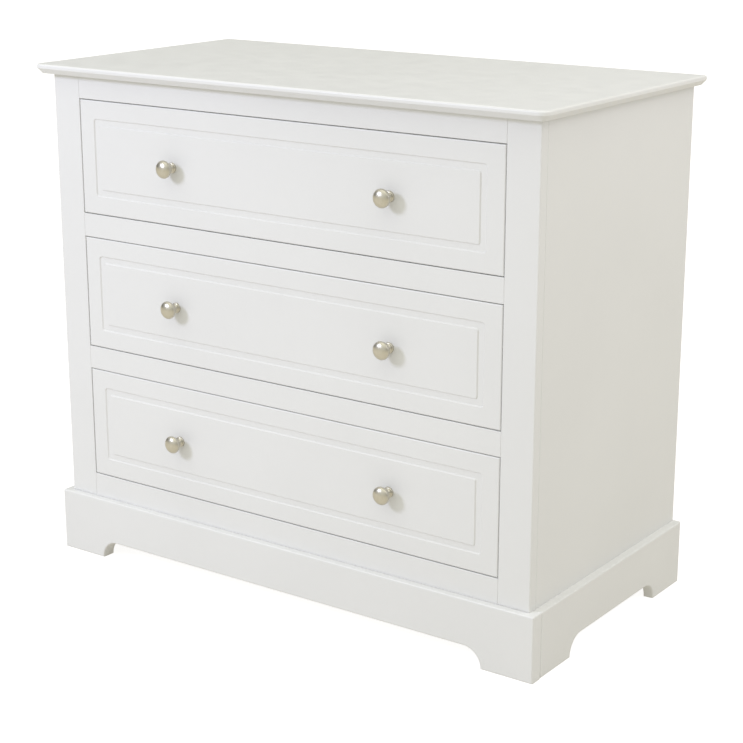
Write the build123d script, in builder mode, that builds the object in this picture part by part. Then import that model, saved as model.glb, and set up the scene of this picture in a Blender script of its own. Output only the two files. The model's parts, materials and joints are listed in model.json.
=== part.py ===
from build123d import *
from math import acos, degrees
import os

# A chest of three drawers: painted board carcase behind a face frame, a top
# with a rounded nose and an undercut bevel, a plinth with bracket feet, and
# inset drawers with a routed line and two turned knobs each, on roller runners.
# Millimetres. +X is the viewer's right, +Y is the back, +Z is up. The origin
# is on the floor, under the middle of the overall box, knobs included.

# ---- driving dimensions ------------------------------------------------------
total_height = 872
carcase_width = 952
carcase_depth = 482          # front of the face frame to the rear edge
panel_thickness = 16         # carcase boards
frame_thickness = 18         # face frame and drawer fronts
stile_width = 57
top_rail_height = 39
mid_rail_height = 40
bottom_rail_height = 42

top_thickness = 16
top_side_overhang = 21
top_front_overhang = 26
top_corner_radius = 15
top_nose_round = 3.5
top_bevel = 9

plinth_height = 110
plinth_front_proud = 12      # ledge in front of the face frame
plinth_side_proud = 14
plinth_back_proud = 2
plinth_front_thickness = 25
plinth_side_thickness = 18
foot_width = 93
foot_height = 32             # also the radius of each foot's inner curve

drawer_names = ("lower", "middle", "upper")
reveal = 1.3                 # gap round an inset drawer front
groove_inset = 30            # edge of the front to the outer line of the groove
groove_width = 13
groove_depth = 1.8           # its walls slope at 45 degrees
groove_outer_radius = 6      # plan corners of its outer and inner lines
groove_inner_radius = 2.5

drawer_side_height = 150
drawer_side_thickness = 12
drawer_side_lift = 14        # underside of the drawer side above the rail
drawer_length = 440
drawer_bottom_thickness = 4
bottom_groove_height = 12    # groove for the bottom, above the side's underside
bottom_groove_depth = 6
drawer_back_drop = 8         # the back's top edge below the sides'
drawer_edge_round = 1.5      # top edges of the sides and back

runner_space = 12.5          # drawer side to opening edge, each side
runner_steel = 1.2
runner_steel_web = 1.0       # the drawer member's upright web
runner_length = 436
runner_set_back = 2          # cabinet member's front end behind the face frame
flange_clearance = 0.5       # drawer flange over the cabinet member's lip
lip_u = 6.0                  # inner edges of the channel's lip and track, and the
track_u = 3.0                # outer edge of the drawer flange, from the drawer side
flange_u = 9.0
lip_end_gap = 4              # the lip starts this far behind the front roller
roller_radius = 7.0
roller_width = 6.4
roller_rim_round = 0.6
roller_side_play = 0.2
front_roller_inset = 12      # roller axes from the ends of their members
rear_roller_inset = 16
rear_roller_v = 10.0         # rear roller axis above the drawer side's underside
rear_roller_u = 1.8          # inner faces of the rollers, from the drawer side
front_roller_u = 3.2
roller_clearance = 0.3
rivet_radius = 2.0
rivet_head_radius = 3.2
rivet_head_height = 0.8
running_fit = 0.05           # roller bore larger than its rivet, on radius

knob_radius = 15
knob_projection = 29
knob_axis_x = 216
knob_base_radius = 9.0
knob_base_height = 3.6
knob_base_straight = 1.0     # the base's straight rim, before it rounds over
knob_base_round = 0.7        # how far that rounding has turned in half way up
knob_shoulder_radius = 7.0   # where the base meets the neck
knob_neck_radius = 4.8
knob_waist_y = -8.6          # the neck's narrowest place, from the drawer front
knob_flare_radius = 6.4      # where the neck meets the head
knob_thread_depth = 11
knob_hole_radius = 2.5
knob_screw_head_radius = 4.2
knob_screw_head_height = 2.4
knob_front_dome = 8.0        # widest section to the tip
knob_back_dome = 7.5         # widest section to the neck side

back_thickness = 5
rebate_width = 9
stretcher_depth = 80
post_depth = 45
post_spacing = 380           # front edge to front edge of a side's two posts
block_leg = 60
block_height = 70
dowel_radius = 4.0
dowel_length = 36
dowel_pitch = 24
screw_radius = 1.9
screw_length = 22
screw_head_radius = 3.2
screw_head_height = 1.5
screw_end_gap = 1            # a hole goes this much deeper than its screw
front_screw_inset = 34       # runner's front screw from the front post's edge
back_screw_columns = 5
top_screw_columns = 4
top_screw_grip = 12          # how far the top's screws go up into it
screw_row_share = 0.9        # outermost screws, as a share of the half width
hole_slack = 0.1             # holes larger than the pins glued or screwed in them
overcut = 1                  # how far a cutter runs past the face that it leaves

arris = 1.0                  # eased board edges
outer_arris = 2.5            # the face frame's outer corners
top_joint_arris = 1.5        # outer upper edges of the side panels and stiles
plinth_arris = 2.5
drawer_arris = 2.0
seam_ledge_chamfer = 1.5     # where the plinth boards meet, on the ledge
seam_upright_chamfer = 0.4   # and down the outside

# ---- places worked out from them ---------------------------------------------
face_y = (knob_projection - carcase_depth - plinth_back_proud) / 2
frame_back_y = face_y + frame_thickness
back_y = face_y + carcase_depth
inner_back_y = back_y - back_thickness
carcase_half = carcase_width / 2
inner_half = carcase_half - panel_thickness
opening_half = carcase_half - stile_width
carcase_top = total_height - top_thickness
plinth_half = carcase_half + plinth_side_proud
plinth_front_y = face_y - plinth_front_proud
plinth_seam_y = plinth_front_y + plinth_front_thickness
plinth_back_y = back_y + plinth_back_proud
floor_top = plinth_height + panel_thickness

rails_total = top_rail_height + 2 * mid_rail_height + bottom_rail_height
opening_height = (carcase_top - plinth_height - rails_total) / len(drawer_names)
opening_pitch = opening_height + mid_rail_height
first_opening = plinth_height + bottom_rail_height
opening_z = {
    name: first_opening + index * opening_pitch
    for index, name in enumerate(drawer_names)
}

drawer_half = opening_half - runner_space            # outer faces of the sides
drawer_inner_half = drawer_half - drawer_side_thickness
drawer_back_y = frame_back_y + drawer_length

# Runner section: u runs outwards from the drawer side, v up from its underside.
cabinet_web_u = runner_space - runner_steel
track_v = rear_roller_v - roller_radius - roller_clearance
lip_v = rear_roller_v + roller_radius + roller_clearance
flange_v = lip_v + runner_steel + flange_clearance   # underside of the drawer flange
front_roller_v = flange_v - roller_clearance - roller_radius
runner_start_y = frame_back_y + runner_set_back
runner_end_y = runner_start_y + runner_length
front_roller_y = runner_start_y + front_roller_inset
rear_roller_y = drawer_back_y - rear_roller_inset
front_post_y = frame_back_y
rear_post_y = frame_back_y + post_spacing
runner_screw_y = (front_post_y + front_screw_inset, rear_post_y + post_depth / 2)

sides = {"left": -1, "right": 1}

os.makedirs("parts", exist_ok=True)


# ---- helpers -----------------------------------------------------------------
def save(piece, name):
    """Labels a finished piece and writes its STEP file."""
    piece.part.label = name
    export_step(piece.part, f"parts/{name}.step")


def board(x, y, z, mode=Mode.ADD):
    """A square-edged board between two coordinates on each axis."""
    middle = tuple((low + high) / 2 for low, high in (x, y, z))
    size = [abs(high - low) for low, high in (x, y, z)]
    with Locations(middle):
        Box(*size, mode=mode)


def pin_x(x, y, z, radius, mode=Mode.ADD):
    """A round pin or hole along X between two X coordinates."""
    with Locations(Location(((x[0] + x[1]) / 2, y, z), (0, 90, 0))):
        Cylinder(radius, abs(x[1] - x[0]), mode=mode)


def pin_y(x, y, z, radius, mode=Mode.ADD):
    """A round pin or hole along Y between two Y coordinates."""
    with Locations(Location((x, (y[0] + y[1]) / 2, z), (90, 0, 0))):
        Cylinder(radius, abs(y[1] - y[0]), mode=mode)


def pin_z(x, y, z, radius, mode=Mode.ADD):
    """A round pin or hole along Z between two Z coordinates."""
    with Locations((x, y, (z[0] + z[1]) / 2)):
        Cylinder(radius, abs(z[1] - z[0]), mode=mode)


def rail_heights():
    """The height span of each rail, by name."""
    spans = {
        "bottom_rail": (plinth_height, first_opening),
        "top_rail": (carcase_top - top_rail_height, carcase_top),
    }
    for name, below in (("lower_mid_rail", "lower"), ("upper_mid_rail", "middle")):
        low = opening_z[below] + opening_height
        spans[name] = (low, low + mid_rail_height)
    return spans


def dowel_places():
    """The Y and Z of every dowel in one stile."""
    y = face_y + frame_thickness / 2
    middles = [sum(span) / 2 for span in rail_heights().values()]
    return [(y, z + step * dowel_pitch / 2) for z in middles for step in (-1, 1)]


def dowel_holes(side, z_span):
    """Cuts one stile joint's dowel holes within a height span."""
    joint = side * opening_half
    reach = dowel_length / 2 + hole_slack
    for y, z in dowel_places():
        if z_span[0] < z < z_span[1]:
            pin_x((joint - reach, joint + reach), y, z,
                  dowel_radius + hole_slack / 2, Mode.SUBTRACT)


# ---- carcase -----------------------------------------------------------------
def make_top():
    """The top: rounded plan corners in front, rounded nose, undercut bevel."""
    half = carcase_half + top_side_overhang
    with BuildPart() as top:
        board((-half, half), (face_y - top_front_overhang, back_y),
              (carcase_top, total_height))
        fillet(top.edges().filter_by(Axis.Z).group_by(Axis.Y)[0], top_corner_radius)
        underside = top.faces().sort_by(Axis.Z)[0]
        chamfer(underside.edges().sort_by(Axis.Y)[:-1], top_bevel)
        upper_face = top.faces().sort_by(Axis.Z)[-1]
        fillet(upper_face.edges().sort_by(Axis.Y)[:-1], top_nose_round)
        top_screw_holes()
    save(top, "top_panel")


def make_side_panel(side_name):
    """A side panel with a rear rebate for the back."""
    side = sides[side_name]
    with BuildPart() as panel:
        board((side * inner_half, side * carcase_half), (frame_back_y, back_y),
              (plinth_height, carcase_top))
        board((side * (inner_half - overcut), side * (inner_half + rebate_width)),
              (inner_back_y, back_y + overcut),
              (plinth_height - overcut, carcase_top + overcut), Mode.SUBTRACT)
        outer_face = panel.faces().sort_by(Axis.X)[-1 if side > 0 else 0]
        upper_edge = outer_face.edges().filter_by(Axis.Y).sort_by(Axis.Z)[-1]
        chamfer(upper_edge, top_joint_arris)
        outer_face = panel.faces().sort_by(Axis.X)[-1 if side > 0 else 0]
        fillet(outer_face.edges().filter_by(Axis.Z), arris)
    save(panel, f"side_panel_{side_name}")


def make_stile(side_name):
    """A face-frame stile, drilled for the rails' dowels."""
    side = sides[side_name]
    outward, inward = (-1, 0) if side > 0 else (0, -1)
    with BuildPart() as stile:
        board((side * opening_half, side * carcase_half), (face_y, frame_back_y),
              (plinth_height, carcase_top))
        outer_face = stile.faces().sort_by(Axis.X)[outward]
        chamfer(outer_face.edges().sort_by(Axis.Z)[-1], top_joint_arris)
        front_face = stile.faces().sort_by(Axis.Y)[0]
        chamfer(front_face.edges().sort_by(Axis.Z)[0], arris)
        uprights = stile.edges().filter_by(Axis.Z).group_by(Axis.Y)
        front_pair, rear_pair = (group.sort_by(Axis.X) for group in (uprights[0], uprights[-1]))
        fillet(front_pair[outward], outer_arris)
        fillet([rear_pair[outward], front_pair[inward]], arris)
        dowel_holes(side, (plinth_height, carcase_top))
    save(stile, f"stile_{side_name}")


def make_rail(name, z_span):
    """A face-frame rail between the stiles."""
    with BuildPart() as rail:
        board((-opening_half, opening_half), (face_y, frame_back_y), z_span)
        fillet(rail.faces().sort_by(Axis.Y)[0].edges(), arris)
        for side in sides.values():
            dowel_holes(side, z_span)
    save(rail, name)


def make_dowels():
    """All the dowels between rails and stiles."""
    with BuildPart() as dowels:
        for side in sides.values():
            for y, z in dowel_places():
                joint = side * opening_half
                pin_x((joint - dowel_length / 2, joint + dowel_length / 2), y, z,
                      dowel_radius)
    save(dowels, "rail_dowels")


def make_bottom():
    """The carcase floor, on the plinth between the side panels."""
    with BuildPart() as bottom:
        board((-inner_half, inner_half), (frame_back_y, inner_back_y),
              (plinth_height, floor_top))
        back_screw_holes()
    save(bottom, "bottom_panel")


def make_back():
    """The thin back, in the side panels' rebates."""
    half = inner_half + rebate_width
    with BuildPart() as back:
        board((-half, half), (inner_back_y, back_y), (plinth_height, carcase_top))
        for x, z in back_screw_places():
            pin_y(x, (inner_back_y - overcut, back_y + overcut), z,
                  screw_radius + hole_slack, Mode.SUBTRACT)
    save(back, "back_panel")


def screw_row(count):
    """The X of each screw in an even row across the carcase."""
    end = inner_half * screw_row_share
    return [end * (2 * index / (count - 1) - 1) for index in range(count)]


def back_screw_places():
    """The back's screws: along the rear stretcher and the floor's edge."""
    z_low = plinth_height + panel_thickness / 2
    z_high = carcase_top - panel_thickness / 2
    return [(x, z) for z in (z_low, z_high) for x in screw_row(back_screw_columns)]


def back_screw_holes():
    """Drills a board behind the back for the back's screws."""
    for x, z in back_screw_places():
        pin_y(x, (inner_back_y - screw_length, inner_back_y), z,
              screw_radius + hole_slack, Mode.SUBTRACT)


def make_back_screws():
    """Pan-head screws through the back into the floor and rear stretcher."""
    with BuildPart() as screws:
        for x, z in back_screw_places():
            pin_y(x, (inner_back_y - screw_length + screw_end_gap, back_y), z,
                  screw_radius)
            pin_y(x, (back_y, back_y + screw_head_height), z, screw_head_radius)
    save(screws, "back_screws")


def top_screw_places():
    """The X and Y of the screws that hold the top down, along both stretchers."""
    rows = (frame_back_y + stretcher_depth / 2, inner_back_y - stretcher_depth / 2)
    return [(x, y) for y in rows for x in screw_row(top_screw_columns)]


def top_screw_holes():
    """Drills the stretchers through, or the top part way, for the top's screws."""
    low = carcase_top - panel_thickness - overcut
    high = carcase_top + top_screw_grip + screw_end_gap
    for x, y in top_screw_places():
        pin_z(x, y, (low, high), screw_radius + hole_slack, Mode.SUBTRACT)


def make_top_screws():
    """Pan-head screws up through the stretchers into the top."""
    low = carcase_top - panel_thickness
    with BuildPart() as screws:
        for x, y in top_screw_places():
            pin_z(x, y, (low, carcase_top + top_screw_grip), screw_radius)
            pin_z(x, y, (low - screw_head_height, low), screw_head_radius)
    save(screws, "top_screws")


def make_stretchers():
    """The two flat stretchers that the top is fixed to."""
    z_span = (carcase_top - panel_thickness, carcase_top)
    with BuildPart() as front:
        board((-inner_half, inner_half),
              (frame_back_y, frame_back_y + stretcher_depth), z_span)
        top_screw_holes()
    save(front, "front_stretcher")
    with BuildPart() as rear:
        board((-inner_half, inner_half),
              (inner_back_y - stretcher_depth, inner_back_y), z_span)
        back_screw_holes()
        top_screw_holes()
    save(rear, "rear_stretcher")


def make_posts(side_name):
    """Two uprights that bring the runners in line with the opening."""
    side = sides[side_name]
    with BuildPart() as posts:
        for y in (front_post_y, rear_post_y):
            board((side * opening_half, side * inner_half), (y, y + post_depth),
                  (floor_top, carcase_top - panel_thickness))
        for z in opening_z.values():
            for y in runner_screw_y:
                pin_x((side * opening_half, side * (opening_half + screw_length)), y,
                      z + drawer_side_lift + rear_roller_v,
                      screw_radius + hole_slack, Mode.SUBTRACT)
    save(posts, f"runner_posts_{side_name}")


# ---- plinth ------------------------------------------------------------------
def foot_cutout(plane, low, high, depth):
    """Cuts the space between two feet, with quarter-round upper corners."""
    with BuildSketch(plane) as outline:
        with Locations(((low + high) / 2, 0)):
            Rectangle(high - low, 2 * foot_height)
        fillet(outline.vertices().group_by(Axis.Y)[-1], foot_height)
    extrude(outline.sketch, amount=depth, both=True, mode=Mode.SUBTRACT)


def ease_seam(board_part, face_place, outer_ends):
    """Eases the upper edge and the outer uprights where two plinth boards meet."""
    joint_face = board_part.faces().sort_by(Axis.Y)[face_place]
    chamfer(joint_face.edges().filter_by(Axis.X).sort_by(Axis.Z)[-1], seam_ledge_chamfer)
    joint_face = board_part.faces().sort_by(Axis.Y)[face_place]
    uprights = joint_face.edges().filter_by(Axis.Z).sort_by(Axis.X)
    chamfer([uprights[end] for end in outer_ends], seam_upright_chamfer)


def make_plinth_front():
    """The front plinth board, lapping the ends of the side boards."""
    with BuildPart() as front:
        board((-plinth_half, plinth_half), (plinth_front_y, plinth_seam_y),
              (0, plinth_height))
        foot_cutout(Plane.XZ.offset(-plinth_front_y), -plinth_half + foot_width,
                    plinth_half - foot_width, 2 * plinth_front_thickness)
        end_tops = front.faces().sort_by(Axis.Z)[-1].edges().filter_by(Axis.Y)
        fillet(front.faces().sort_by(Axis.Y)[0].edges() + end_tops, plinth_arris)
        ease_seam(front, -1, (0, -1))
    save(front, "plinth_front")


def make_plinth_side(side_name):
    """A side plinth board, butted behind the front one."""
    side = sides[side_name]
    with BuildPart() as board_part:
        board((side * (plinth_half - plinth_side_thickness), side * plinth_half),
              (plinth_seam_y, plinth_back_y), (0, plinth_height))
        foot_cutout(Plane.YZ.offset(side * plinth_half), plinth_seam_y + foot_width,
                    plinth_back_y - foot_width, 2 * plinth_side_thickness)
        outer_face = board_part.faces().sort_by(Axis.X)[-1 if side > 0 else 0]
        fillet(outer_face.edges().sort_by(Axis.Y)[1:], plinth_arris)
        ease_seam(board_part, 0, (-1 if side > 0 else 0,))
    save(board_part, f"plinth_{side_name}")


def make_plinth_back():
    """The rear plinth rail, clear of the floor, between the side boards."""
    half = plinth_half - plinth_side_thickness
    with BuildPart() as rear:
        board((-half, half), (plinth_back_y - plinth_side_thickness, plinth_back_y),
              (foot_height, plinth_height))
    save(rear, "plinth_back")


def make_plinth_blocks():
    """Triangular glue blocks in the plinth's corners, under the floor."""
    x = plinth_half - plinth_side_thickness
    corners = {
        plinth_seam_y: 1,
        plinth_back_y - plinth_side_thickness: -1,
    }
    with BuildPart() as blocks:
        with BuildSketch(Plane.XY.offset(plinth_height - block_height)):
            for side in sides.values():
                for y, inward in corners.items():
                    with BuildLine():
                        Polyline((side * x, y), (side * (x - block_leg), y),
                                 (side * x, y + inward * block_leg), close=True)
                    make_face()
        extrude(amount=block_height)
    save(blocks, "plinth_blocks")


# ---- drawers -----------------------------------------------------------------
def sloped_block(half, z_span, inset, radius, slope, depths):
    """A rounded block with 45-degree walls, given its outline on the face."""
    outlines = []
    for depth in depths:
        shift = inset + slope * depth
        with BuildSketch(Plane.XZ.offset(-face_y - depth)) as outline:
            with Locations((0, sum(z_span) / 2)):
                RectangleRounded(2 * (half - shift), z_span[1] - z_span[0] - 2 * shift,
                                 radius - slope * depth)
        outlines.append(outline.sketch)
    return loft(outlines, ruled=True)


def routed_line(half, z_span):
    """Cuts the groove that runs round a drawer front: a pocket less a field."""
    with BuildPart(mode=Mode.PRIVATE) as ring:
        sloped_block(half, z_span, groove_inset, groove_outer_radius, 1,
                     (-overcut, groove_depth))
        with BuildPart(mode=Mode.SUBTRACT):
            sloped_block(half, z_span, groove_inset + groove_width,
                         groove_inner_radius, -1, (-2 * overcut, groove_depth + overcut))
    add(ring.part, mode=Mode.SUBTRACT)


def make_drawer_front(name):
    """An inset front with a routed line, a bottom groove and knob holes."""
    z = opening_z[name]
    half = opening_half - reveal
    z_span = (z + reveal, z + opening_height - reveal)
    with BuildPart() as front:
        board((-half, half), (face_y, frame_back_y), z_span)
        fillet(front.faces().sort_by(Axis.Y)[0].edges(), drawer_arris)
        routed_line(half, z_span)
        board((-drawer_half, drawer_half),
              (frame_back_y - bottom_groove_depth, frame_back_y + overcut),
              bottom_groove(z + drawer_side_lift), Mode.SUBTRACT)
        for side in sides.values():
            pin_y(side * knob_axis_x, (face_y - overcut, frame_back_y + overcut),
                  z + opening_height / 2, knob_hole_radius, Mode.SUBTRACT)
    save(front, f"{name}_drawer_front")


def bottom_groove(side_z):
    """The height span of the groove that holds a drawer's bottom."""
    low = side_z + bottom_groove_height
    return (low, low + drawer_bottom_thickness + hole_slack)


def make_drawer_side(name, side_name):
    """A drawer side, grooved for the bottom."""
    side = sides[side_name]
    side_z = opening_z[name] + drawer_side_lift
    with BuildPart() as panel:
        board((side * drawer_inner_half, side * drawer_half),
              (frame_back_y, drawer_back_y), (side_z, side_z + drawer_side_height))
        upper_face = panel.faces().sort_by(Axis.Z)[-1]
        fillet(upper_face.edges().filter_by(Axis.Y), drawer_edge_round)
        board((side * (drawer_inner_half - overcut),
               side * (drawer_inner_half + bottom_groove_depth)),
              (frame_back_y - overcut, drawer_back_y + overcut),
              bottom_groove(side_z), Mode.SUBTRACT)
    save(panel, f"{name}_drawer_side_{side_name}")


def make_drawer_back(name):
    """The drawer's back, between the sides and on top of the bottom."""
    side_z = opening_z[name] + drawer_side_lift
    top_z = side_z + drawer_side_height - drawer_back_drop
    with BuildPart() as panel:
        board((-drawer_inner_half, drawer_inner_half),
              (drawer_back_y - drawer_side_thickness, drawer_back_y),
              (bottom_groove(side_z)[1], top_z))
        upper_face = panel.faces().sort_by(Axis.Z)[-1]
        fillet(upper_face.edges().filter_by(Axis.X), drawer_edge_round)
    save(panel, f"{name}_drawer_back")


def make_drawer_bottom(name):
    """The drawer's thin bottom, in the grooves of the sides and front."""
    low = bottom_groove(opening_z[name] + drawer_side_lift)[0]
    half = drawer_inner_half + bottom_groove_depth - hole_slack
    with BuildPart() as panel:
        board((-half, half),
              (frame_back_y - bottom_groove_depth + hole_slack, drawer_back_y),
              (low, low + drawer_bottom_thickness))
    save(panel, f"{name}_drawer_bottom")


def make_knob(name, side_name):
    """A turned knob: rounded base, waisted neck and a flattened ball head."""
    x = sides[side_name] * knob_axis_x
    z = opening_z[name] + opening_height / 2
    head = knob_front_dome - knob_projection
    neck_angle = degrees(acos(knob_flare_radius / knob_radius))
    rim = (knob_base_radius, -knob_base_straight)
    base_corner = (knob_base_radius - knob_base_round, knob_base_round - knob_base_height)
    shoulder = (knob_shoulder_radius, -knob_base_height)
    with BuildPart() as knob:
        with BuildSketch(Plane(origin=(x, face_y, z), x_dir=(1, 0, 0), z_dir=(0, 0, 1))):
            with BuildLine():
                back_dome = EllipticalCenterArc((0, head), knob_radius, knob_back_dome,
                                                start_angle=0, arc_size=neck_angle)
                front_dome = EllipticalCenterArc((0, head), knob_radius,
                                                 knob_front_dome, start_angle=270,
                                                 arc_size=90)
                ThreePointArc(back_dome @ 1, (knob_neck_radius, knob_waist_y), shoulder)
                ThreePointArc(shoulder, base_corner, rim)
                Polyline(rim, (knob_base_radius, 0), (0, 0), front_dome @ 0)
            make_face()
        revolve(axis=Axis((x, face_y, z), (0, 1, 0)))
        pin_y(x, (face_y - knob_thread_depth, face_y + overcut), z,
              screw_radius + hole_slack, Mode.SUBTRACT)
    save(knob, f"{name}_knob_{side_name}")


def make_knob_screws(name):
    """The machine screws that hold a drawer's knobs from inside."""
    z = opening_z[name] + opening_height / 2
    with BuildPart() as screws:
        for side in sides.values():
            x = side * knob_axis_x
            pin_y(x, (face_y - knob_thread_depth + screw_end_gap, frame_back_y), z,
                  screw_radius)
            pin_y(x, (frame_back_y, frame_back_y + knob_screw_head_height), z,
                  knob_screw_head_radius)
    save(screws, f"{name}_knob_screws")


# ---- runners -----------------------------------------------------------------
def runner_span(side, low_u, high_u):
    """Two X coordinates from distances out from the drawer side."""
    return (side * (drawer_half + low_u), side * (drawer_half + high_u))


def make_drawer_runners(name):
    """The pair of drawer members: a flange under the side, an upright web, a
    running flange on top, and the rear roller's rivet."""
    z = opening_z[name] + drawer_side_lift
    y_span = (frame_back_y, frame_back_y + runner_length)
    rivet_end_u = rear_roller_u + roller_width + roller_side_play
    with BuildPart() as runners:
        for side in sides.values():
            board(runner_span(side, -drawer_side_thickness, runner_steel_web), y_span,
                  (z - runner_steel, z))
            board(runner_span(side, 0, runner_steel_web), y_span,
                  (z - runner_steel, z + flange_v + runner_steel))
            board(runner_span(side, 0, flange_u), y_span,
                  (z + flange_v, z + flange_v + runner_steel))
            pin_x(runner_span(side, 0, rivet_end_u), rear_roller_y,
                  z + rear_roller_v, rivet_radius)
            pin_x(runner_span(side, rivet_end_u, rivet_end_u + rivet_head_height),
                  rear_roller_y, z + rear_roller_v, rivet_head_radius)
    save(runners, f"{name}_drawer_runners")


def make_cabinet_runners(name):
    """The pair of cabinet members: a channel with a track and a lip, cut back
    in front for the front roller, and that roller's rivet."""
    z = opening_z[name] + drawer_side_lift
    y_span = (runner_start_y, runner_end_y)
    lip_start_y = front_roller_y + roller_radius + lip_end_gap
    rivet_end_u = front_roller_u - roller_side_play
    with BuildPart() as runners:
        for side in sides.values():
            board(runner_span(side, cabinet_web_u, runner_space), y_span,
                  (z + track_v - runner_steel, z + lip_v + runner_steel))
            board(runner_span(side, track_u, runner_space), y_span,
                  (z + track_v - runner_steel, z + track_v))
            board(runner_span(side, lip_u, runner_space), (lip_start_y, runner_end_y),
                  (z + lip_v, z + lip_v + runner_steel))
            pin_x(runner_span(side, rivet_end_u, cabinet_web_u), front_roller_y,
                  z + front_roller_v, rivet_radius)
            pin_x(runner_span(side, rivet_end_u - rivet_head_height, rivet_end_u),
                  front_roller_y, z + front_roller_v, rivet_head_radius)
            for y in runner_screw_y:
                pin_x(runner_span(side, cabinet_web_u - overcut,
                                  runner_space + overcut),
                      y, z + rear_roller_v, screw_radius + hole_slack, Mode.SUBTRACT)
    save(runners, f"{name}_cabinet_runners")


def make_rollers(node_name, low_u, y, z):
    """A pair of nylon rollers, bored to turn freely on their rivets."""
    with BuildPart() as rollers:
        for side in sides.values():
            pin_x(runner_span(side, low_u, low_u + roller_width), y, z, roller_radius)
        rims = rollers.edges().filter_by(GeomType.CIRCLE)
        fillet(rims, roller_rim_round)
        for side in sides.values():
            pin_x(runner_span(side, low_u - overcut, low_u + roller_width + overcut),
                  y, z, rivet_radius + running_fit, Mode.SUBTRACT)
    save(rollers, node_name)


def make_runner_screws():
    """The screws that hold every cabinet member to the posts."""
    with BuildPart() as screws:
        for z in opening_z.values():
            for side in sides.values():
                for y in runner_screw_y:
                    height = z + drawer_side_lift + rear_roller_v
                    pin_x(runner_span(side, cabinet_web_u,
                                      runner_space + screw_length - screw_end_gap),
                          y, height, screw_radius)
                    pin_x(runner_span(side, cabinet_web_u - screw_head_height,
                                      cabinet_web_u), y, height, screw_head_radius)
    save(screws, "runner_screws")


# ---- everything --------------------------------------------------------------
make_top()
for side_name in sides:
    make_side_panel(side_name)
    make_stile(side_name)
    make_posts(side_name)
    make_plinth_side(side_name)
for rail_name, rail_span in rail_heights().items():
    make_rail(rail_name, rail_span)
make_dowels()
make_bottom()
make_back()
make_back_screws()
make_stretchers()
make_top_screws()
make_plinth_front()
make_plinth_back()
make_plinth_blocks()
make_runner_screws()

for drawer_name in drawer_names:
    make_drawer_front(drawer_name)
    make_drawer_back(drawer_name)
    make_drawer_bottom(drawer_name)
    make_knob_screws(drawer_name)
    make_drawer_runners(drawer_name)
    make_cabinet_runners(drawer_name)
    side_bottom = opening_z[drawer_name] + drawer_side_lift
    make_rollers(f"{drawer_name}_rear_rollers", rear_roller_u, rear_roller_y,
                 side_bottom + rear_roller_v)
    make_rollers(f"{drawer_name}_front_rollers", front_roller_u, front_roller_y,
                 side_bottom + front_roller_v)
    for side_name in sides:
        make_drawer_side(drawer_name, side_name)
        make_knob(drawer_name, side_name)
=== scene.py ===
import json
import math

import bmesh
import bpy
from mathutils import Matrix, Vector


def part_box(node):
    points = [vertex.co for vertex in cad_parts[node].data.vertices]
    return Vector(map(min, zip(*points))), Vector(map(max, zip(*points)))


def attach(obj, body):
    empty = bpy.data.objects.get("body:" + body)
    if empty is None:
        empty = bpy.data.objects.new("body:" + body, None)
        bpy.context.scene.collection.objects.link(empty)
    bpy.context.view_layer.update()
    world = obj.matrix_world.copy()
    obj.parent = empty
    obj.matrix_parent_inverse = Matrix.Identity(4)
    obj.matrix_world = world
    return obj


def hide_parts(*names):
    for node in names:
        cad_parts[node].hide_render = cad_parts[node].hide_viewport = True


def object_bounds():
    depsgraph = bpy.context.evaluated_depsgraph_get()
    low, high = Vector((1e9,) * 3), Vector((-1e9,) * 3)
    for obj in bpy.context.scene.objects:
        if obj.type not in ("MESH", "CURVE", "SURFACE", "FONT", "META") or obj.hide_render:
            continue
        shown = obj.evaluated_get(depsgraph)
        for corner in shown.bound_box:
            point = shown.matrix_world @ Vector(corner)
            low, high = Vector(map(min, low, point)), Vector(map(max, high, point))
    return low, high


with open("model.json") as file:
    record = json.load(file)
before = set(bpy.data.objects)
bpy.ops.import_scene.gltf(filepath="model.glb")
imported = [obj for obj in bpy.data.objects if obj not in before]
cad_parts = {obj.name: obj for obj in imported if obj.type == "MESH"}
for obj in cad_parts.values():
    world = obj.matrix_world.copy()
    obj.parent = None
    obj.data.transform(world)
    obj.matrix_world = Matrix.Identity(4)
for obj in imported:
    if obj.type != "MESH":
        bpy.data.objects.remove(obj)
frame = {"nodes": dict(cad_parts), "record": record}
cad_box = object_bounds()

# Looks for a white painted chest of three drawers. Metres, in the frame's own axes: +X is the
# viewer's right, +Y the back, +Z up, with the floor at zero.

# ---- camera ------------------------------------------------------------------
CAMERA_PLACE = Vector((1.7374, -2.4123, 1.2195))
CAMERA_YAW = math.radians(35.43)         # turned from +Y towards -X
CAMERA_PITCH = math.radians(16.19)       # down from level
CAMERA_LENS = 87.3                       # mm
SENSOR_WIDTH = 36.0                      # mm

# ---- light -------------------------------------------------------------------
KEY_DIRECTION = Vector((-0.42, -0.80, 0.44))
KEY_DISTANCE = 3.2
KEY_SIZE = 0.62
KEY_POWER = 36.2
KEY_COLOUR = (0.738, 0.772, 1.0)
SIDE_PLACE = Vector((1.7, 0.2, 1.6))
SIDE_SIZE = 1.2
SIDE_POWER = 8.0
SIDE_COLOUR = (0.90, 0.88, 0.95)
ROOM_LEFT = (0.11, 0.11, 0.11)           # the room's light from each side, and from above
ROOM_RIGHT = (0.30, 0.30, 0.30)
ROOM_FRONT = (0.795, 0.805, 0.76)
ROOM_BACK = (0.30, 0.30, 0.30)
ROOM_ABOVE = (1.57, 1.565, 1.41)
BACKDROP_WHITE = 1.05
FLOOR_COLOUR = (0.35, 0.34, 0.33)
FLOOR_WARMTH = (0.345, 0.330, 0.280)     # what the floor adds to the light on the object
FLOOR_SHINE = (0.48, 0.445, 0.34)        # and to what it reflects
FLOOR_WHITE = 0.88                       # what only the camera sees, so that it reads as white
FLOOR_REACH = 60.0

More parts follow.
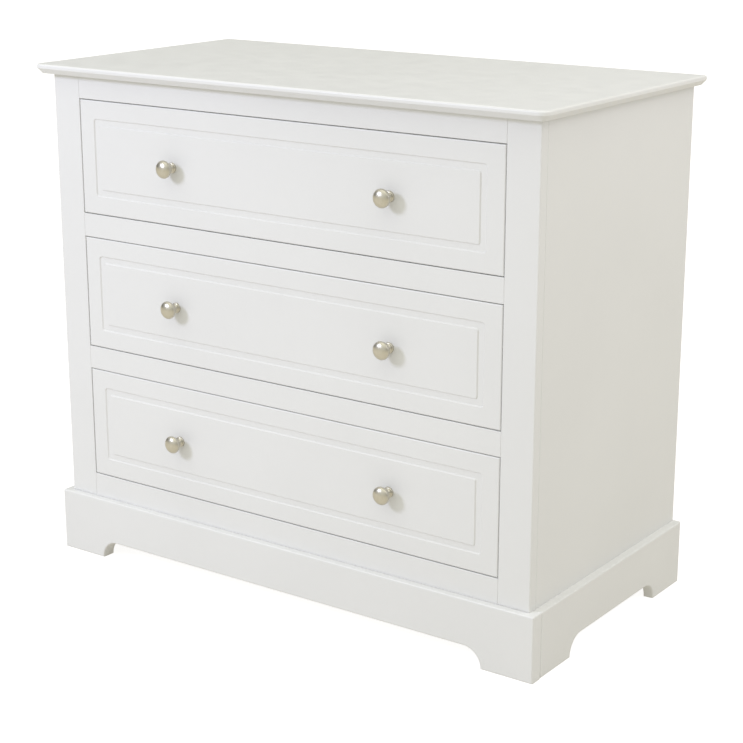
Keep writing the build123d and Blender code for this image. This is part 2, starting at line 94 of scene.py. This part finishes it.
# ---- knobs, metres: radius, and distance out from the drawer front --------------
KNOB_BASE_RADIUS = 0.009
KNOB_BASE_HEIGHT = 0.0036
KNOB_BASE_STRAIGHT = 0.001
KNOB_SHOULDER_RADIUS = 0.007
KNOB_WAIST = (0.0048, 0.0086)
KNOB_FLARE_RADIUS = 0.0064
KNOB_FRONT_DOME = 0.008                  # widest section to the tip
KNOB_BACK_DOME = 0.0075                  # widest section to the neck side
KNOB_STEPS = 96                          # round the axis
CURVE_STEPS = 28                         # along each dome

# ---- screws, metres -----------------------------------------------------------
HEAD_RADIUS = 0.0032
HEAD_HEIGHT = 0.0015
SHANK_RADIUS = 0.0019
KNOB_HEAD_RADIUS = 0.0042
KNOB_HEAD_HEIGHT = 0.0024
RUNNER_STEEL = 0.0012
BACK_SCREW_COLUMNS = 5
TOP_SCREW_COLUMNS = 4
SCREW_STEPS = 40
CROWN_SHARE = 0.72                       # the flat top's radius and the rim's height, as
RIM_SHARE = 0.45                         # shares of the head's
SLOT_LENGTH = 0.5                        # the cross recess, as shares of the head's radius
SLOT_WIDTH = 0.13
SLOT_TAPER = 0.6
SLOT_DEPTH = 0.6                         # share of the head's height

DRAWERS = ("lower", "middle", "upper")


# ---- node helpers ------------------------------------------------------------
def new_material(name):
    """An empty node material, with its tree and its Principled shader."""
    material = bpy.data.materials.new(name)
    material.use_nodes = True
    tree = material.node_tree
    return material, tree, tree.nodes["Principled BSDF"]


def add(tree, kind, **settings):
    """Adds a node. A setting names one of its properties or input sockets."""
    node = tree.nodes.new("ShaderNode" + kind)
    for name, value in settings.items():
        socket = name.replace("_", " ")
        if hasattr(node, name):
            setattr(node, name, value)
        else:
            node.inputs[socket].default_value = value
    return node


def noise(tree, place, scale, detail=3.0, roughness=0.5):
    """A noise texture's factor, at points linked from place."""
    texture = add(tree, "TexNoise", Scale=scale, Detail=detail, Roughness=roughness)
    tree.links.new(place, texture.inputs["Vector"])
    return texture.outputs["Fac"]


def spread(tree, factor, low, high, start=0.3, end=0.7):
    """Maps a factor between start and end to numbers from low to high."""
    mapping = add(tree, "MapRange")
    for name, value in (("From Min", start), ("From Max", end), ("To Min", low), ("To Max", high)):
        mapping.inputs[name].default_value = value
    tree.links.new(factor, mapping.inputs["Value"])
    return mapping.outputs["Result"]


def blend_colours(tree, factor, first, second):
    """A colour between two, each a colour or a socket."""
    mix = add(tree, "Mix", data_type="RGBA")
    tree.links.new(factor, mix.inputs["Factor"])
    for socket, colour in ((mix.inputs[6], first), (mix.inputs[7], second)):
        if isinstance(colour, tuple):
            socket.default_value = (*colour, 1.0)
        else:
            tree.links.new(colour, socket)
    return mix.outputs[2]


def tint(tree, shader, factor, first, second, start=0.3, end=0.7):
    """Colours a shader from one colour to another along a factor."""
    colour = blend_colours(tree, spread(tree, factor, 0, 1, start, end), first, second)
    tree.links.new(colour, shader.inputs["Base Color"])


def roughen(tree, shader, factor, low, high, start=0.3, end=0.7):
    """Varies a shader's roughness from low to high along a factor."""
    tree.links.new(spread(tree, factor, low, high, start, end), shader.inputs["Roughness"])


def bump(tree, shader, height, distance, strength=1.0, under=None):
    """Adds a bump of a height in metres to a shader, over another bump if one is given."""
    node = add(tree, "Bump", Strength=strength, Distance=distance)
    tree.links.new(height, node.inputs["Height"])
    if under is not None:
        tree.links.new(under, node.inputs["Normal"])
    tree.links.new(node.outputs["Normal"], shader.inputs["Normal"])
    return node.outputs["Normal"]


def stretched(tree, scale):
    """Object coordinates, stretched by a factor along each axis."""
    place = add(tree, "TexCoord")
    mapping = add(tree, "Mapping")
    mapping.inputs["Scale"].default_value = scale
    tree.links.new(place.outputs["Object"], mapping.inputs["Vector"])
    return mapping.outputs["Vector"]


# ---- materials ---------------------------------------------------------------
def satin_paint(name, light, dark, gloss, peel):
    """Sprayed lacquer: slight cloudiness, an orange peel of a few millimetres, satin gloss."""
    material, tree, shader = new_material(name)
    place = stretched(tree, (1, 1, 1))
    cloud = noise(tree, place, 4.0, detail=4.0)
    tint(tree, shader, cloud, light, dark)
    patches = noise(tree, place, 30.0)
    roughen(tree, shader, patches, gloss - 0.04, gloss + 0.05)
    waves = bump(tree, shader, noise(tree, place, 260.0, detail=2.0), peel)
    bump(tree, shader, noise(tree, place, 2600.0, detail=1.0), peel * 0.12, under=waves)
    shader.inputs["IOR"].default_value = 1.5
    return material


def satin_nickel(name):
    """Plated metal with fine turning lines round the knob's own axis."""
    material, tree, shader = new_material(name)
    coordinates = add(tree, "TexCoord").outputs["Object"]
    parts = add(tree, "SeparateXYZ")
    tree.links.new(coordinates, parts.inputs["Vector"])
    flat = add(tree, "CombineXYZ")
    tree.links.new(parts.outputs["X"], flat.inputs["X"])
    tree.links.new(parts.outputs["Z"], flat.inputs["Y"])
    radius = add(tree, "VectorMath", operation="LENGTH")
    tree.links.new(flat.outputs["Vector"], radius.inputs[0])
    ring = add(tree, "CombineXYZ")
    tree.links.new(radius.outputs["Value"], ring.inputs["X"])
    tree.links.new(parts.outputs["Y"], ring.inputs["Y"])
    lines = noise(tree, ring.outputs["Vector"], 5200.0, detail=2.0)
    cloud = noise(tree, coordinates, 90.0, detail=3.0)
    tint(tree, shader, cloud, (0.61, 0.58, 0.50), (0.55, 0.52, 0.44))
    roughen(tree, shader, lines, 0.27, 0.35)
    bump(tree, shader, lines, 0.000012)
    shader.inputs["Metallic"].default_value = 1.0
    return material


def melamine(name, colour, speck):
    """White melamine board: a fine pressed texture and a few pale specks."""
    material, tree, shader = new_material(name)
    place = stretched(tree, (1, 1, 1))
    grain = noise(tree, place, 700.0, detail=3.0)
    tint(tree, shader, grain, colour, speck, 0.45, 0.8)
    roughen(tree, shader, grain, 0.42, 0.56)
    bump(tree, shader, grain, 0.00004)
    return material


def faced_hardboard(name, brown_side):
    """Hardboard with one white face: brown and fibrous where the normal is along brown_side."""
    material, tree, shader = new_material(name)
    coordinates = add(tree, "TexCoord")
    place = coordinates.outputs["Object"]
    facing = add(tree, "VectorMath", operation="DOT_PRODUCT")
    tree.links.new(coordinates.outputs["Normal"], facing.inputs[0])
    facing.inputs[1].default_value = brown_side
    brown = spread(tree, facing.outputs["Value"], 0, 1, -0.9, 0.5)
    fibre = noise(tree, place, 320.0, detail=6.0, roughness=0.65)
    cloud = noise(tree, place, 11.0, detail=3.0)
    fibres = blend_colours(tree, spread(tree, fibre, 0, 1), (0.30, 0.185, 0.10),
                           (0.44, 0.29, 0.165))
    clouded = blend_colours(tree, spread(tree, cloud, 0, 0.35), fibres, (0.34, 0.22, 0.13))
    white = blend_colours(tree, spread(tree, cloud, 0, 1), (0.76, 0.76, 0.74), (0.73, 0.73, 0.71))
    tree.links.new(blend_colours(tree, brown, white, clouded), shader.inputs["Base Color"])
    roughen(tree, shader, brown, 0.45, 0.78, 0, 1)
    bump(tree, shader, fibre, 0.00009)
    return material


def softwood(name, along):
    """Unfinished softwood with its grain along one axis."""
    material, tree, shader = new_material(name)
    squeeze = tuple(0.06 if axis == along else 1.0 for axis in "XYZ")
    place = stretched(tree, squeeze)
    growth = add(tree, "TexNoise", Scale=70.0, Detail=4.0, Distortion=0.6)
    tree.links.new(place, growth.inputs["Vector"])
    fibre = noise(tree, place, 900.0, detail=3.0, roughness=0.6)
    bands = blend_colours(tree, spread(tree, growth.outputs["Fac"], 0, 1), (0.66, 0.50, 0.32),
                          (0.52, 0.36, 0.20))
    tree.links.new(blend_colours(tree, spread(tree, fibre, 0, 0.4), bands, (0.42, 0.29, 0.17)),
                   shader.inputs["Base Color"])
    roughen(tree, shader, fibre, 0.62, 0.8)
    bump(tree, shader, fibre, 0.00012)
    return material


def coated_steel(name):
    """White epoxy powder on thin steel: a fine pebble and a soft sheen."""
    material, tree, shader = new_material(name)
    place = stretched(tree, (1, 1, 1))
    pebble = noise(tree, place, 1500.0, detail=2.0)
    cloud = noise(tree, place, 20.0)
    tint(tree, shader, cloud, (0.78, 0.78, 0.76), (0.72, 0.72, 0.70))
    roughen(tree, shader, pebble, 0.30, 0.42)
    bump(tree, shader, pebble, 0.00005)
    return material


def nylon(name):
    """Natural nylon: milky and finely moulded."""
    material, tree, shader = new_material(name)
    place = stretched(tree, (1, 1, 1))
    flow = noise(tree, place, 180.0, detail=3.0)
    tint(tree, shader, flow, (0.80, 0.79, 0.74), (0.70, 0.69, 0.64))
    roughen(tree, shader, flow, 0.36, 0.5)
    bump(tree, shader, noise(tree, place, 2200.0), 0.00002)
    return material


def zinc(name):
    """Zinc plate with a bluish cast and small dull spots."""
    material, tree, shader = new_material(name)
    place = stretched(tree, (1, 1, 1))
    spots = noise(tree, place, 900.0, detail=4.0)
    tint(tree, shader, spots, (0.62, 0.63, 0.65), (0.48, 0.49, 0.51))
    roughen(tree, shader, spots, 0.28, 0.48)
    bump(tree, shader, spots, 0.00003)
    shader.inputs["Metallic"].default_value = 1.0
    return material


def studio_floor(name):
    """A plain pale floor: white to the camera, and a warm glow to the object."""
    material, tree, shader = new_material(name)
    place = stretched(tree, (1, 1, 1))
    cloud = noise(tree, place, 1.2, detail=2.0)
    paler = tuple(value + 0.01 for value in FLOOR_COLOUR)
    tint(tree, shader, cloud, FLOOR_COLOUR, paler)
    shader.inputs["Roughness"].default_value = 0.9
    shader.inputs["Specular IOR Level"].default_value = 0.1
    rays = add(tree, "LightPath")
    glow = blend_colours(tree, rays.outputs["Is Glossy Ray"], FLOOR_WARMTH, FLOOR_SHINE)
    white = (FLOOR_WHITE, FLOOR_WHITE, FLOOR_WHITE)
    tree.links.new(blend_colours(tree, rays.outputs["Is Camera Ray"], glow, white),
                   shader.inputs["Emission Color"])
    shader.inputs["Emission Strength"].default_value = 1.0
    return material


# ---- dressing the CAD nodes --------------------------------------------------
def dress(node, material):
    """Gives a CAD node's material slots a finish."""
    slots = frame["nodes"][node].material_slots
    for slot in slots:
        slot.material = material


def dress_cad_nodes():
    """Every CAD node takes the finish of its slot in the record."""
    finishes = {
        "white_paint": satin_paint("white_satin_paint", (0.775, 0.775, 0.765),
                                   (0.755, 0.755, 0.745), 0.38, 0.00003),
        "white_board": melamine("white_melamine", (0.74, 0.74, 0.725), (0.79, 0.79, 0.78)),
        "drawer_board": melamine("drawer_melamine", (0.73, 0.73, 0.715), (0.79, 0.79, 0.77)),
        "thin_board": faced_hardboard("drawer_hardboard", (0, 0, -1)),
        "raw_wood": softwood("softwood_upright", "Z"),
        "knob_nickel": satin_nickel("satin_nickel"),
        "runner_steel": coated_steel("white_epoxy_steel"),
        "roller_nylon": nylon("natural_nylon"),
        "screw_steel": zinc("zinc_plate"),
    }
    for part in frame["record"]["subparts"]:
        dress(part["node"], finishes[part["material_slot"]])
    dress("back_panel", faced_hardboard("back_hardboard", (0, 1, 0)))
    dress("rail_dowels", softwood("softwood_dowel", "X"))
    return finishes


# ---- pieces that stand for CAD nodes -------------------------------------------
def turned_rings(shape, profile, steps, matrix, sharp=()):
    """Adds a turned surface and returns its rings; a point on the axis is one vertex."""
    rings = []
    for radius, height in profile:
        if radius == 0:
            rings.append([shape.verts.new(matrix @ Vector((0, 0, height)))])
            continue
        angles = [math.tau * step / steps for step in range(steps)]
        rings.append([shape.verts.new(matrix @ Vector((radius * math.cos(angle),
                                                       radius * math.sin(angle), height)))
                      for angle in angles])
    for first, second in zip(rings, rings[1:]):
        for step in range(steps):
            following = (step + 1) % steps
            corners = [first[step % len(first)], first[following % len(first)],
                       second[following % len(second)], second[step % len(second)]]
            face = shape.faces.new(list(dict.fromkeys(corners)))
            face.smooth = True
    for index in sharp:
        for step in range(steps):
            edge = shape.edges.get((rings[index][step], rings[index][(step + 1) % steps]))
            edge.smooth = False
    return rings


def finish_piece(shape, name, body, nodes, material, origin=(0, 0, 0)):
    """Makes a piece from a bmesh, in place of CAD nodes and riding on their body."""
    bmesh.ops.recalc_face_normals(shape, faces=shape.faces)
    mesh = bpy.data.meshes.new(name)
    shape.to_mesh(mesh)
    shape.free()
    mesh.materials.append(material)
    piece = bpy.data.objects.new(name, mesh)
    piece.location = origin
    bpy.context.scene.collection.objects.link(piece)
    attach(piece, body)
    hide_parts(*nodes)


def arc_through(start, middle, end, steps):
    """Points from start towards end on the circle through three points, end left out."""
    (ax, ay), (bx, by), (cx, cy) = start, middle, end
    cross = 2 * (ax * (by - cy) + bx * (cy - ay) + cx * (ay - by))
    a, b, c = (x * x + y * y for x, y in (start, middle, end))
    x = (a * (by - cy) + b * (cy - ay) + c * (ay - by)) / cross
    y = (a * (cx - bx) + b * (ax - cx) + c * (bx - ax)) / cross
    radius = math.hypot(ax - x, ay - y)
    first, last = (math.atan2(py - y, px - x) for px, py in (start, end))
    sweep = (last - first + math.pi) % math.tau - math.pi
    angles = [first + sweep * step / steps for step in range(steps)]
    return [(x + radius * math.cos(angle), y + radius * math.sin(angle)) for angle in angles]


def knob_profile(radius, length):
    """The knob's outline, from the middle of its base to its tip."""
    head = length - KNOB_FRONT_DOME
    shoulder = (KNOB_SHOULDER_RADIUS, KNOB_BASE_HEIGHT)
    flare = math.acos(KNOB_FLARE_RADIUS / radius)
    flare_point = (KNOB_FLARE_RADIUS, head - KNOB_BACK_DOME * math.sin(flare))
    points = [(0, 0), (KNOB_BASE_RADIUS, 0)]
    base_depth = KNOB_BASE_RADIUS - KNOB_SHOULDER_RADIUS
    base_rise = KNOB_BASE_HEIGHT - KNOB_BASE_STRAIGHT
    base_steps = CURVE_STEPS // 4
    for step in range(base_steps):
        turn = math.pi / 2 * step / base_steps
        points.append((KNOB_SHOULDER_RADIUS + base_depth * math.cos(turn),
                       KNOB_BASE_STRAIGHT + base_rise * math.sin(turn)))
    shoulder_index = len(points)
    points += arc_through(shoulder, KNOB_WAIST, flare_point, CURVE_STEPS)
    flare_index = len(points)
    for step in range(CURVE_STEPS):
        turn = flare * (1 - step / CURVE_STEPS)
        points.append((radius * math.cos(turn), head - KNOB_BACK_DOME * math.sin(turn)))
    for step in range(CURVE_STEPS):
        turn = math.pi / 2 * step / CURVE_STEPS
        points.append((radius * math.cos(turn), head + KNOB_FRONT_DOME * math.sin(turn)))
    points.append((0, length))
    return points, (1, shoulder_index, flare_index)


def make_knobs(material):
    """Six turned knobs, each with its origin in the middle of its base."""
    outward = Matrix.Rotation(math.radians(90), 4, "X")
    for drawer in DRAWERS:
        for side in ("left", "right"):
            node = f"{drawer}_knob_{side}"
            low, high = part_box(node)
            profile, sharp = knob_profile((high.x - low.x) / 2, high.y - low.y)
            shape = bmesh.new()
            turned_rings(shape, profile, KNOB_STEPS, outward, sharp)
            base = Vector(((low.x + high.x) / 2, high.y, (low.z + high.z) / 2))
            finish_piece(shape, f"turned_{node}", f"{drawer}_drawer", [node],
                         material, base)


def cross_outline(radius, share, height):
    """Twelve corners of the recess, at a share of its full size."""
    reach, half = radius * SLOT_LENGTH * share, radius * SLOT_WIDTH * share
    arm = [(reach, -half), (reach, half), (half, half)]
    turns = [Matrix.Rotation(math.radians(90) * turn, 4, "Z") for turn in range(4)]
    return [turn @ Vector((x, y, height)) for turn in turns for x, y in arm]


def add_screw(shape, seat, axis, radius, height, length):
    """Adds one pan-head screw with a cross recess. Its head stands on the seat, out along axis."""
    matrix = Matrix.Translation(seat) @ axis.to_track_quat("Z", "Y").to_matrix().to_4x4()
    profile = []
    crown_steps = SCREW_STEPS // 4
    for step in range(crown_steps + 1):
        turn = math.pi / 2 * step / crown_steps
        profile.append((radius * (CROWN_SHARE + (1 - CROWN_SHARE) * math.sin(turn)),
                        height * (RIM_SHARE + (1 - RIM_SHARE) * math.cos(turn))))
    rim = len(profile)
    tip = SHANK_RADIUS / 2
    profile += [(radius, 0), (SHANK_RADIUS, 0), (SHANK_RADIUS, tip - length), (tip, -length)]
    profile.append((0, -length))
    rings = turned_rings(shape, profile, SCREW_STEPS, matrix, (0, rim - 1, rim, rim + 1))
    mouth = [shape.verts.new(matrix @ point) for point in cross_outline(radius, 1, height)]
    floor = [shape.verts.new(matrix @ point)
             for point in cross_outline(radius, SLOT_TAPER, height * (1 - SLOT_DEPTH))]
    deepest = shape.verts.new(matrix @ Vector((0, 0, height * (1 - SLOT_DEPTH) * SLOT_TAPER)))
    corners = len(mouth)
    loops = [shape.edges.get((rings[0][step], rings[0][(step + 1) % SCREW_STEPS]))
             for step in range(SCREW_STEPS)]
    for corner in range(corners):
        following = (corner + 1) % corners
        shape.faces.new((mouth[corner], mouth[following], floor[following], floor[corner]))
        shape.faces.new((floor[corner], floor[following], deepest))
        loops.append(shape.edges.get((mouth[corner], mouth[following])))
    bmesh.ops.triangle_fill(shape, edges=loops, use_beauty=True)


def even_steps(low, high, count):
    """Evenly spaced numbers from low to high."""
    return [low + (high - low) * index / (count - 1) for index in range(count)]


def make_back_screws(material):
    """The screws through the back, in a row near its top and a row near its bottom."""
    low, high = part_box("back_screws")
    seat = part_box("back_panel")[1].y
    shape = bmesh.new()
    for x in even_steps(low.x + HEAD_RADIUS, high.x - HEAD_RADIUS, BACK_SCREW_COLUMNS):
        for z in (low.z + HEAD_RADIUS, high.z - HEAD_RADIUS):
            add_screw(shape, Vector((x, seat, z)), Vector((0, 1, 0)), HEAD_RADIUS, HEAD_HEIGHT,
                      seat - low.y)
    finish_piece(shape, "pan_head_back_screws", "carcase", ["back_screws"], material)


def make_top_screws(material):
    """The screws up through both stretchers, one row in each."""
    low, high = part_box("top_screws")
    seat = low.z + HEAD_HEIGHT
    shape = bmesh.new()
    for x in even_steps(low.x + HEAD_RADIUS, high.x - HEAD_RADIUS, TOP_SCREW_COLUMNS):
        for y in (low.y + HEAD_RADIUS, high.y - HEAD_RADIUS):
            add_screw(shape, Vector((x, y, seat)), Vector((0, 0, -1)), HEAD_RADIUS, HEAD_HEIGHT,
                      high.z - seat)
    finish_piece(shape, "pan_head_top_screws", "carcase", ["top_screws"], material)


def make_runner_screws(material):
    """Two screws through each cabinet runner, heads towards the drawer."""
    low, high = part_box("runner_screws")
    shape = bmesh.new()
    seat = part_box("lower_cabinet_runners")[1].x - RUNNER_STEEL
    for side in (-1, 1):
        for y in (low.y + HEAD_RADIUS, high.y - HEAD_RADIUS):
            for z in even_steps(low.z + HEAD_RADIUS, high.z - HEAD_RADIUS, len(DRAWERS)):
                add_screw(shape, Vector((side * seat, y, z)), Vector((-side, 0, 0)), HEAD_RADIUS,
                          HEAD_HEIGHT, high.x - seat)
    finish_piece(shape, "pan_head_runner_screws", "carcase", ["runner_screws"],
                 material)


def make_knob_screws(material):
    """The two machine screws inside each drawer front."""
    for drawer in DRAWERS:
        node = f"{drawer}_knob_screws"
        low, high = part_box(node)
        seat = high.y - KNOB_HEAD_HEIGHT
        shape = bmesh.new()
        for x in (low.x + KNOB_HEAD_RADIUS, high.x - KNOB_HEAD_RADIUS):
            add_screw(shape, Vector((x, seat, (low.z + high.z) / 2)), Vector((0, 1, 0)),
                      KNOB_HEAD_RADIUS, KNOB_HEAD_HEIGHT, seat - low.y)
        finish_piece(shape, f"pan_head_{node}", f"{drawer}_drawer", [node], material)


# ---- stage, lights, camera ---------------------------------------------------
def make_floor():
    """The floor, under the object and out past the horizon."""
    mesh = bpy.data.meshes.new("studio_floor")
    signs = ((-1, -1), (1, -1), (1, 1), (-1, 1))
    corners = [(x * FLOOR_REACH, y * FLOOR_REACH, 0) for x, y in signs]
    mesh.from_pydata(corners, [], [(0, 1, 2, 3)])
    mesh.materials.append(studio_floor("studio_floor"))
    floor = bpy.data.objects.new("studio_floor", mesh)
    bpy.context.scene.collection.objects.link(floor)


def squared(tree, value):
    """A socket's value, squared."""
    square = add(tree, "Math", operation="MULTIPLY")
    for socket in square.inputs[:2]:
        tree.links.new(value, socket)
    return square.outputs["Value"]


def make_world():
    """Room light of its own colour from each side, with a white backdrop for the camera."""
    world = bpy.data.worlds.new("studio")
    bpy.context.scene.world = world
    world.use_nodes = True
    tree = world.node_tree
    tree.nodes.clear()
    direction = add(tree, "SeparateXYZ")
    tree.links.new(add(tree, "TexCoord").outputs["Generated"], direction.inputs["Vector"])
    x, y, z = (direction.outputs[axis] for axis in "XYZ")
    sides = blend_colours(tree, spread(tree, x, 0, 1, -0.001, 0.001), ROOM_LEFT, ROOM_RIGHT)
    ends = blend_colours(tree, spread(tree, y, 0, 1, -0.001, 0.001), ROOM_FRONT, ROOM_BACK)
    level = add(tree, "Math", operation="SUBTRACT")
    level.inputs[0].default_value = 1.0
    tree.links.new(squared(tree, z), level.inputs[1])
    share = add(tree, "Math", operation="DIVIDE")
    tree.links.new(squared(tree, y), share.inputs[0])
    tree.links.new(level.outputs["Value"], share.inputs[1])
    around = blend_colours(tree, share.outputs["Value"], sides, ends)
    light = blend_colours(tree, level.outputs["Value"], ROOM_ABOVE, around)
    room = add(tree, "Background")
    tree.links.new(light, room.inputs["Color"])
    backdrop = add(tree, "Background", Strength=BACKDROP_WHITE)
    backdrop.inputs["Color"].default_value = (1.0, 1.0, 1.0, 1.0)
    rays = add(tree, "LightPath")
    mix = add(tree, "MixShader")
    output = add(tree, "OutputWorld")
    tree.links.new(rays.outputs["Is Camera Ray"], mix.inputs["Fac"])
    tree.links.new(room.outputs["Background"], mix.inputs[1])
    tree.links.new(backdrop.outputs["Background"], mix.inputs[2])
    tree.links.new(mix.outputs["Shader"], output.inputs["Surface"])


def area_light(name, place, target, size, power, colour):
    """A square softbox at a place, turned to a target."""
    light = bpy.data.lights.new(name, "AREA")
    light.shape = "SQUARE"
    light.size = size
    light.energy = power
    light.color = colour
    lamp = bpy.data.objects.new(name, light)
    lamp.location = place
    lamp.rotation_mode = "QUATERNION"
    lamp.rotation_quaternion = (target - place).to_track_quat("-Z", "Y")
    lamp.visible_camera = False
    bpy.context.scene.collection.objects.link(lamp)


def make_lights():
    """The key from the front left, and a wide softbox high on the right."""
    low, high = cad_box
    middle = (low + high) / 2
    key_place = middle + KEY_DIRECTION.normalized() * KEY_DISTANCE
    area_light("key_light", key_place, middle, KEY_SIZE, KEY_POWER, KEY_COLOUR)
    area_light("side_light", SIDE_PLACE, middle, SIDE_SIZE, SIDE_POWER, SIDE_COLOUR)


def make_camera():
    """The camera, to the right of the front and looking a little down."""
    lens = bpy.data.cameras.new("camera")
    lens.lens = CAMERA_LENS
    lens.sensor_width = SENSOR_WIDTH
    camera = bpy.data.objects.new("camera", lens)
    level = math.cos(CAMERA_PITCH)
    direction = Vector((-math.sin(CAMERA_YAW) * level, math.cos(CAMERA_YAW) * level,
                        -math.sin(CAMERA_PITCH)))
    camera.location = CAMERA_PLACE
    camera.rotation_mode = "QUATERNION"
    camera.rotation_quaternion = direction.to_track_quat("-Z", "Y")
    bpy.context.scene.collection.objects.link(camera)
    bpy.context.scene.camera = camera


# ---- everything --------------------------------------------------------------
make_camera()
make_world()
make_floor()
make_lights()
finishes = dress_cad_nodes()
make_knobs(finishes["knob_nickel"])
make_back_screws(finishes["screw_steel"])
make_top_screws(finishes["screw_steel"])
make_runner_screws(finishes["screw_steel"])
make_knob_screws(finishes["screw_steel"])
bpy.context.scene.view_settings.view_transform = "Standard"
